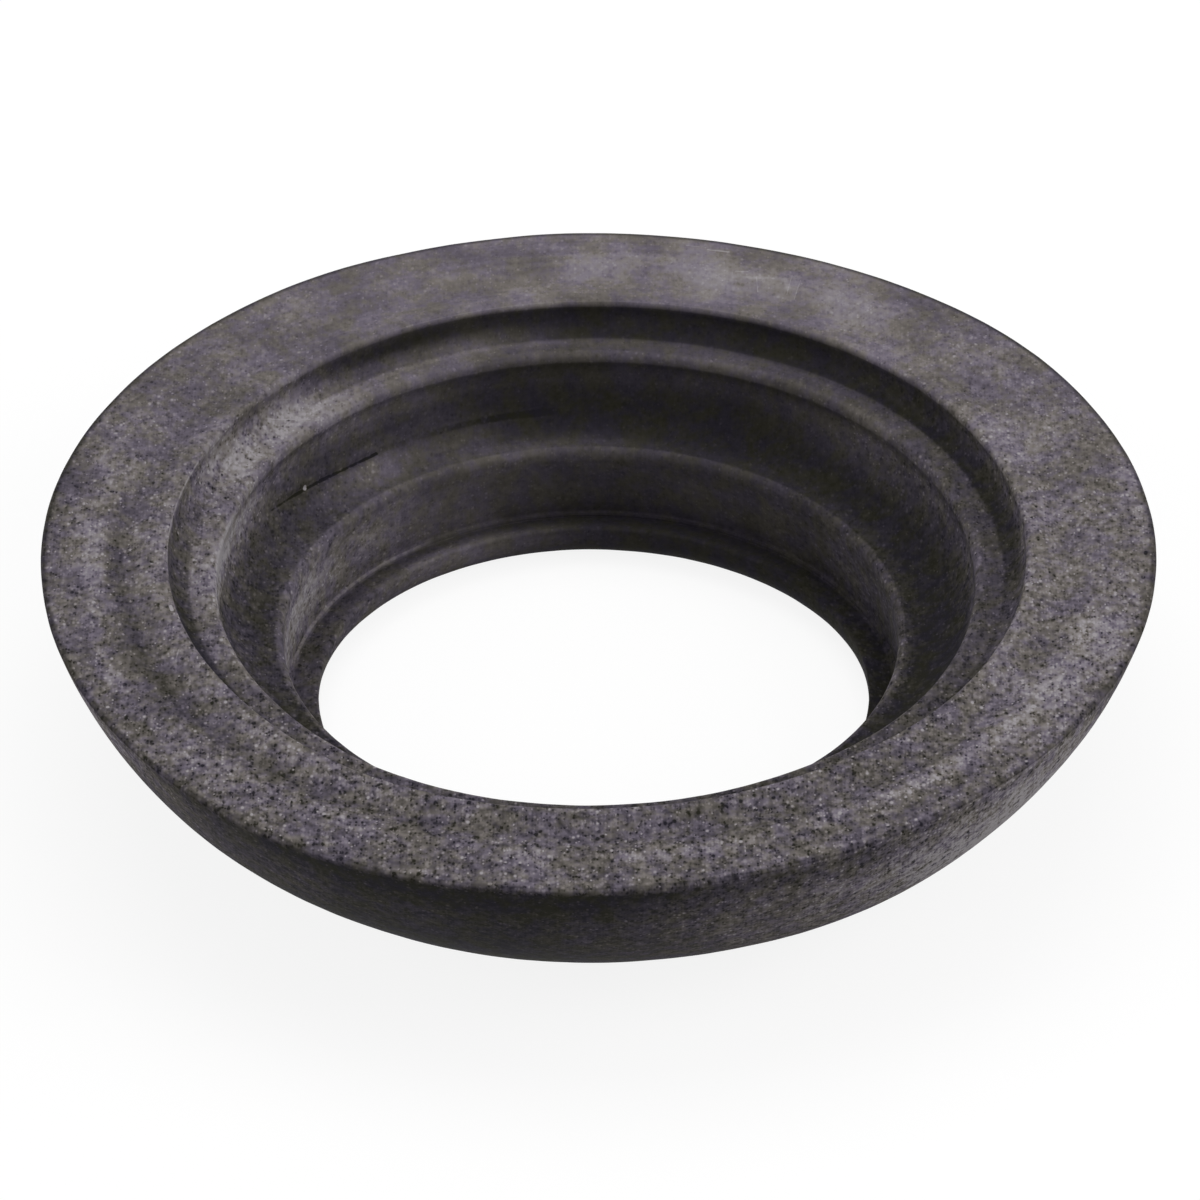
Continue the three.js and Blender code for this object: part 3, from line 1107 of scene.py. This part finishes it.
    def _scuffs_and_painted_light(self, board: Board, place: Value, skin: Value) -> Socket:
        """Add up the thin scuffs, the specks, and the thin lines of painted highlight and painted shade, each
        broken up along its length.

        Args:
            board: The material's board.
            place: Where on the object.
            skin: Fine noise that breaks the scuffs up.

        Returns:
            How much they add to the dust.
        """
        total: Value = 0.0
        for group, marks in ((stroke_group(), STROKES), (ring_line_group(), RING_LINES)):
            for mark in marks:
                mask = group.place(board, {"Place": place, **mark.feeds()}).outputs["Mask"]
                total = board.maths("MULTIPLY_ADD", mask, mark.strength, total)
        return board.maths("MULTIPLY", total, board.fade(skin, *self.stroke_break_range, *self.stroke_break_swing))

    def _colour(self, board: Board, place: Value, cover: Value) -> Socket:
        """The rubber's colour under its dust and its painted light.

        Args:
            board: The material's board.
            place: Where on the object.
            cover: How much of the rubber the dust and the painted light cover.

        Returns:
            The colour.
        """
        hues = board.noise(place, self.hue_size, detail=4.0, roughness=0.66)
        tint = board.fade(hues, *self.hue_range)
        bare = board.mix(tint, self.violet_bare, self.brown_bare)
        dust = board.mix(tint, self.violet_dust, self.brown_dust)
        covered = board.mix(board.maths("MINIMUM", cover, 1.0), bare, dust)
        thick = board.maths("MULTIPLY_ADD", cover, self.pale_per_cover, self.pale_offset, clamp=True)
        return board.mix(thick, covered, self.pale_dust)


@dataclass
class GasketRing:
    """The moulded ring: builds the fine mesh and dresses it in dusty rubber."""

    sizes: RingSizes
    finish: RubberFinish = RubberFinish()
    trough: Trough = Trough()
    crease: Crease = Crease()
    unevenness: Unevenness = Unevenness()
    bend: Bend = Bend()
    swelling: Swelling = Swelling()
    dust_fall: DustFall = DustFall()
    turns: int = 416
    outer_wall_steps: int = 56
    upper_cove_steps: int = 14
    middle_cove_steps: int = 42
    nose_steps: int = 7
    outer_edge_steps: int = 4
    inner_edge_steps: int = 5
    underside_steps: int = 16
    wide_spacing: float = 0.9 * MM
    middle_spacing: float = 0.42 * MM
    close_spacing: float = 0.3 * MM

    def outline(self) -> SectionOutline:
        """Draw the section of the ring.

        Returns:
            The closed outline, from the inner end of the foot round to the throat.
        """
        s = self.sizes
        outline = SectionOutline()
        outline.add(s.throat_radius + s.lip_underside, 0.0, Stretch.FOOT)
        outline.line(s.foot_radius - s.foot_edge, 0.0, Stretch.FOOT, self.wide_spacing)
        self._outer_wall(outline)
        self._broad_face(outline)
        self._step(outline, s.upper_wall_radius, s.middle_wall_radius, s.upper_ledge_height, s.upper_cove,
                   s.upper_nose, (Stretch.UPPER_COVE, Stretch.UPPER_LEDGE, Stretch.UPPER_NOSE),
                   self.upper_cove_steps)
        self._step(outline, s.middle_wall_radius, s.lower_wall_radius, s.middle_ledge_height, s.middle_cove,
                   s.middle_nose, (Stretch.MIDDLE_COVE, Stretch.MIDDLE_LEDGE, Stretch.MIDDLE_NOSE),
                   self.middle_cove_steps)
        self._lower_recess(outline)
        outline.tidy()
        return outline

    def _outer_wall(self, outline: SectionOutline) -> None:
        """Draw the bowed outer wall, from the edge of the foot to the rim."""
        s = self.sizes
        start = np.array((s.foot_radius, s.foot_edge))
        end = np.array((s.rim_radius, s.height - s.rim_edge))
        chord = end - start
        half_chord = float(np.linalg.norm(chord)) / 2
        inward = np.array((-chord[1], chord[0])) / (2 * half_chord)
        centre = (start + end) / 2 + inward * math.sqrt(s.outer_bow ** 2 - half_chord ** 2)
        first = math.degrees(math.atan2(start[1] - centre[1], start[0] - centre[0]))
        last = first + 2 * math.degrees(math.asin(half_chord / s.outer_bow))
        edge_centre = (s.foot_radius - s.foot_edge, s.foot_edge)
        outline.arc(edge_centre, s.foot_edge, -90, first, Stretch.FOOT_EDGE, self.outer_edge_steps)
        outline.arc(tuple(centre), s.outer_bow, first, last, Stretch.OUTER_WALL, self.outer_wall_steps)

    def _broad_face(self, outline: SectionOutline) -> None:
        """Draw the rim's edge, the broad face and its inner edge. The trough is sunk later."""
        s = self.sizes
        rim_centre = (s.rim_radius - s.rim_edge, s.height - s.rim_edge)
        outline.arc(rim_centre, s.rim_edge, 0, 90, Stretch.RIM_EDGE, self.outer_edge_steps)
        outline.line(s.upper_wall_radius + s.face_edge, s.height, Stretch.BROAD_FACE, self.middle_spacing)
        edge_centre = (s.upper_wall_radius + s.face_edge, s.height - s.face_edge)
        outline.arc(edge_centre, s.face_edge, 90, 180, Stretch.FACE_EDGE, self.inner_edge_steps)

    def _step(self, outline: SectionOutline, wall: float, nose_edge: float, ledge: float, cove: float,
              nose: float, stretches: tuple[Stretch, Stretch, Stretch], cove_steps: int) -> None:
        """Draw one recess: its cove, its ledge and the ledge's nose.

        Args:
            outline: The outline to add to.
            wall: Radius of the recess's wall.
            nose_edge: Radius at which the ledge ends.
            ledge: Height of the ledge.
            cove: Radius of the cove.
            nose: Radius of the nose.
            stretches: The names of the cove, the ledge and the nose.
            cove_steps: Steps in the cove.
        """
        outline.arc((wall - cove, ledge + cove), cove, 0, -90, stretches[0], cove_steps)
        outline.line(nose_edge + nose, ledge, stretches[1], self.close_spacing)
        outline.arc((nose_edge + nose, ledge - nose), nose, 90, 180, stretches[2], self.nose_steps)

    def _lower_recess(self, outline: SectionOutline) -> None:
        """Draw the lower wall, the mould's step, the lower ledge, and the lip down to the foot."""
        s = self.sizes
        ledge = s.lip_thickness - s.lower_ledge_fall
        ledge_end = s.lower_wall_radius - s.mould_step
        fine = self.close_spacing / 3
        step_top = ledge + s.mould_step_height
        knee_across, knee_up = s.mould_step_knee
        knee = (ledge_end + s.mould_step * knee_across, ledge + s.mould_step_height * knee_up)
        outline.line(s.lower_wall_radius, step_top, Stretch.LOWER_WALL, self.middle_spacing)
        outline.line(*knee, Stretch.MOULD_STEP, fine)
        outline.line(ledge_end, ledge, Stretch.MOULD_STEP, fine)
        edge_centre = (s.throat_radius + s.throat_edge, s.lip_thickness - s.throat_edge)
        outline.line(edge_centre[0], s.lip_thickness, Stretch.LOWER_LEDGE, self.close_spacing)
        outline.arc(edge_centre, s.throat_edge, 90, 180, Stretch.LIP_EDGE, self.inner_edge_steps)
        underside_centre = (s.throat_radius + s.lip_underside, s.lip_underside)
        outline.arc(underside_centre, s.lip_underside, 180, 270, Stretch.LIP_UNDERSIDE, self.underside_steps)

    def build(self) -> bpy.types.Object:
        """Turn the section into the ring's mesh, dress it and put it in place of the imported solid.

        Returns:
            The ring.
        """
        outline = self.outline()
        section = outline.as_array()
        bearings = np.arange(self.turns) * 360.0 / self.turns
        normals = self._section_normals(section)
        ring = self._mesh_object(self._points(outline, normals, bearings), len(section))
        rest = ring.data.attributes.new("rest", "FLOAT_VECTOR", "POINT")
        rest.data.foreach_set("vector", turned(section[:, :1], section[:, 1:], bearings).reshape(-1))
        self._write_attributes(ring, outline, normals, bearings)
        ring.data.materials.append(self.finish.make())
        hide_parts(NODE)
        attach(ring, BODY)
        return ring

    def _points(self, outline: SectionOutline, normals: np.ndarray, bearings: np.ndarray) -> np.ndarray:
        """Turn the section about the axis and give it its trough, crease, unevenness, swelling and bend.

        Args:
            outline: The section's outline.
            normals: The section's outward normals.
            bearings: Bearing of each column of points.

        Returns:
            The points of the ring as rows of X, Y and Z.
        """
        section = outline.as_array()
        cut = self.crease.drop(bearings, section[:, 1]) * outline.mask(Stretch.MIDDLE_COVE)[:, None]
        sunk = self.trough.drop(section[:, 0]) * outline.mask(Stretch.BROAD_FACE)
        radius = section[:, :1] - normals[:, :1] * cut
        height = (section[:, 1] - sunk)[:, None] - normals[:, 1:] * cut
        points = turned(radius, height, bearings)
        outward = turned(normals[:, :1], normals[:, 1:], bearings)
        swell = self.swelling.rise(bearings, section[:, 1] / self.sizes.height)
        swell = (swell * outline.mask(Stretch.OUTER_WALL)[:, None]).reshape(-1)
        proud = np.array([self.unevenness.at(Vector(point)) for point in points]) + swell
        off_the_floor = np.repeat(1.0 - outline.mask(Stretch.FOOT), self.turns)
        points = self.bend.move(points + outward * (proud * off_the_floor)[:, None], self.sizes)
        points[:, 2] = np.maximum(points[:, 2], 0.0)
        return points

    @staticmethod
    def _section_normals(section: np.ndarray) -> np.ndarray:
        """Outward normals of a closed outline that runs anticlockwise.

        Args:
            section: Radius and height of each point.

        Returns:
            A unit normal for each point.
        """
        along = np.roll(section, -1, axis=0) - np.roll(section, 1, axis=0)
        normals = np.stack((along[:, 1], -along[:, 0]), axis=-1)
        return normals / np.linalg.norm(normals, axis=1)[:, None]

    def _mesh_object(self, points: np.ndarray, rows: int) -> bpy.types.Object:
        """Join the points into a closed ring of four sided faces.

        Args:
            points: The points, row by row of the section.
            rows: Number of points in the section.

        Returns:
            The smooth shaded mesh object.
        """
        here = np.arange(rows)[:, None] * self.turns + np.arange(self.turns)[None, :]
        next_row = np.roll(here, -1, axis=0)
        faces = np.stack((here, np.roll(here, -1, axis=1), np.roll(next_row, -1, axis=1), next_row), axis=-1)
        mesh = bpy.data.meshes.new("gasket_ring")
        mesh.from_pydata(points.tolist(), [], faces.reshape(-1, 4).tolist())
        mesh.shade_smooth()
        mesh.update()
        ring = bpy.data.objects.new("gasket_ring", mesh)
        bpy.context.scene.collection.objects.link(ring)
        return ring

    def _write_attributes(self, ring: bpy.types.Object, outline: SectionOutline, normals: np.ndarray,
                          bearings: np.ndarray) -> None:
        """Write how much dust and painted light lies where and how coarse it is, for the material to read.

        Args:
            ring: The ring.
            outline: The section's outline.
            normals: The section's outward normals.
            bearings: Bearing of each column of points.
        """
        dusting_and_painted_light = self.dust_fall.amount(outline, normals, bearings)
        grain = self.dust_fall.grain(outline, bearings)
        for name, values in (("dusting_and_painted_light", dusting_and_painted_light), ("grain", grain)):
            attribute = ring.data.attributes.new(name, "FLOAT", "POINT")
            attribute.data.foreach_set("value", values.reshape(-1).astype(np.float32))


@dataclass(frozen=True)
class Lamp:
    """A soft lamp that looks at the ring. Its share is how bright it makes a white surface there."""

    name: str
    bearing: float
    elevation: float
    distance: float
    width: float
    depth: float
    share: float

    def place(self, target: Vector) -> bpy.types.Object:
        """Hang the lamp.

        Args:
            target: The point that it looks at.

        Returns:
            The lamp.
        """
        light = bpy.data.lights.new(self.name, "AREA")
        light.shape = "RECTANGLE"
        light.size = self.width
        light.size_y = self.depth
        light.energy = self.share * math.pi ** 2 * self.distance ** 2
        turn, rise = math.radians(self.bearing), math.radians(self.elevation)
        offset = Vector((math.cos(turn) * math.cos(rise), math.sin(turn) * math.cos(rise), math.sin(rise)))
        lamp = bpy.data.objects.new(self.name, light)
        lamp.location = target + offset * self.distance
        lamp.rotation_euler = (-offset).to_track_quat("-Z", "Y").to_euler()
        bpy.context.scene.collection.objects.link(lamp)
        return lamp


@dataclass(frozen=True)
class PhotoView:
    """The photograph's view: a long lens that looks down at the ring."""

    tilt: float = 35.95
    distance_in_rims: float = 16.0
    frame_pixels: float = 1200.0
    focal_pixels: float = 8928.0
    rim_centre_x: float = 597.0
    rim_centre_y: float = 544.5
    sensor: float = 36.0
    nearest: float = 0.05

    def place(self, sizes: RingSizes) -> bpy.types.Object:
        """Set up the camera.

        Args:
            sizes: The ring's sizes.

        Returns:
            The camera.
        """
        data = bpy.data.cameras.new("photo_view")
        data.sensor_width = self.sensor
        data.lens = self.focal_pixels / self.frame_pixels * self.sensor
        data.clip_start = self.nearest
        distance = self.distance_in_rims * sizes.rim_radius
        tilt = math.radians(self.tilt)
        back = Vector((0.0, -math.cos(tilt), math.sin(tilt)))
        right = Vector((1.0, 0.0, 0.0))
        up = back.cross(right)
        rim_centre = Vector((0.0, 0.0, sizes.height))
        per_pixel = distance / self.focal_pixels
        aim = rim_centre + right * (self.frame_pixels / 2 - self.rim_centre_x) * per_pixel
        aim -= up * (self.frame_pixels / 2 - self.rim_centre_y) * per_pixel
        camera = bpy.data.objects.new("photo_view", data)
        location = rim_centre + back * distance
        camera.location = location
        camera.rotation_euler = (aim - location).to_track_quat("-Z", "Y").to_euler()
        bpy.context.scene.collection.objects.link(camera)
        bpy.context.scene.camera = camera
        return camera


@dataclass
class Studio:
    """The pale floor, the soft lamps and the even light of the room."""

    sizes: RingSizes
    floor_half_width: float = 4.0
    floor_gap: float = 0.02 * MM
    floor_colour: Colour = (0.62, 0.62, 0.61)
    floor_seen: Colour = (0.15, 0.15, 0.15)
    floor_glow: float = 0.87
    room_light: float = 0.40
    lamps: tuple[Lamp, ...] = (
        Lamp("overhead_lamp", bearing=95, elevation=72, distance=1.1, width=1.0, depth=0.8, share=0.42),
        Lamp("right_lamp", bearing=352, elevation=34, distance=1.0, width=0.6, depth=0.5, share=0.32),
        Lamp("left_lamp", bearing=192, elevation=30, distance=1.2, width=0.5, depth=0.4, share=0.10),
    )

    def lay_floor(self) -> bpy.types.Object:
        """Lay the pale floor, which keeps the ring's shadow.

        Returns:
            The floor.
        """
        half, level = self.floor_half_width, -self.floor_gap
        mesh = bpy.data.meshes.new("floor")
        corners = [(-half, -half, level), (half, -half, level), (half, half, level), (-half, half, level)]
        mesh.from_pydata(corners, [], [(0, 1, 2, 3)])
        floor = bpy.data.objects.new("floor", mesh)
        bpy.context.scene.collection.objects.link(floor)
        floor.data.materials.append(self._floor_material())
        return floor

    def _floor_material(self) -> bpy.types.Material:
        """A matt pale floor, white to the camera and in reflections but for the ring's faint shadow.

        It is clear from below, so that the underside of the ring can be looked at.

        Returns:
            The material.
        """
        material = bpy.data.materials.new("pale floor")
        material.use_nodes = True
        board = Board(material.node_tree)
        seen = seen_at_all(board)
        colour = board.mix(seen, self.floor_colour, self.floor_seen)
        matt = board.add("ShaderNodeBsdfDiffuse", {"Color": colour}).outputs[0]
        strength = board.maths("MULTIPLY", seen, self.floor_glow)
        glow = board.add("ShaderNodeEmission", {"Color": WHITE, "Strength": strength}).outputs[0]
        upper = board.add("ShaderNodeAddShader", {0: matt, 1: glow}).outputs[0]
        from_below = board.add("ShaderNodeNewGeometry").outputs["Backfacing"]
        clear = board.add("ShaderNodeBsdfTransparent").outputs[0]
        whole = board.add("ShaderNodeMixShader", {0: from_below, 1: upper, 2: clear}).outputs[0]
        board.add("ShaderNodeOutputMaterial", {"Surface": whole})
        return material

    def light_room(self) -> None:
        """Fill the room with even light, white where the camera or a reflection sees it."""
        world = bpy.data.worlds.new("room")
        world.use_nodes = True
        bpy.context.scene.world = world
        board = Board(world.node_tree)
        strength = board.fade(seen_at_all(board), 0.0, 1.0, self.room_light, 1.0)
        light = board.add("ShaderNodeBackground", {"Color": WHITE, "Strength": strength}).outputs[0]
        board.add("ShaderNodeOutputWorld", {"Surface": light})

    def build(self) -> None:
        """Lay the floor, light the room and hang the lamps."""
        self.lay_floor()
        self.light_room()
        target = Vector((0.0, 0.0, self.sizes.height / 2))
        for lamp in self.lamps:
            lamp.place(target)


def main() -> None:
    """Build the studio, the view and the ring, and report each of them."""
    logging.basicConfig(level=logging.INFO, format="%(message)s")
    bpy.context.scene.view_settings.view_transform = "Standard"
    sizes = RingSizes.from_frame()
    camera = PhotoView().place(sizes)
    LOG.info("camera: %s, %.0f mm lens", camera.name, camera.data.lens)
    Studio(sizes).build()
    LOG.info("studio: floor, room light and lamps")
    ring = GasketRing(sizes).build()
    LOG.info("ring: %s, %d faces", ring.name, len(ring.data.polygons))


if __name__ == "__main__":
    main()
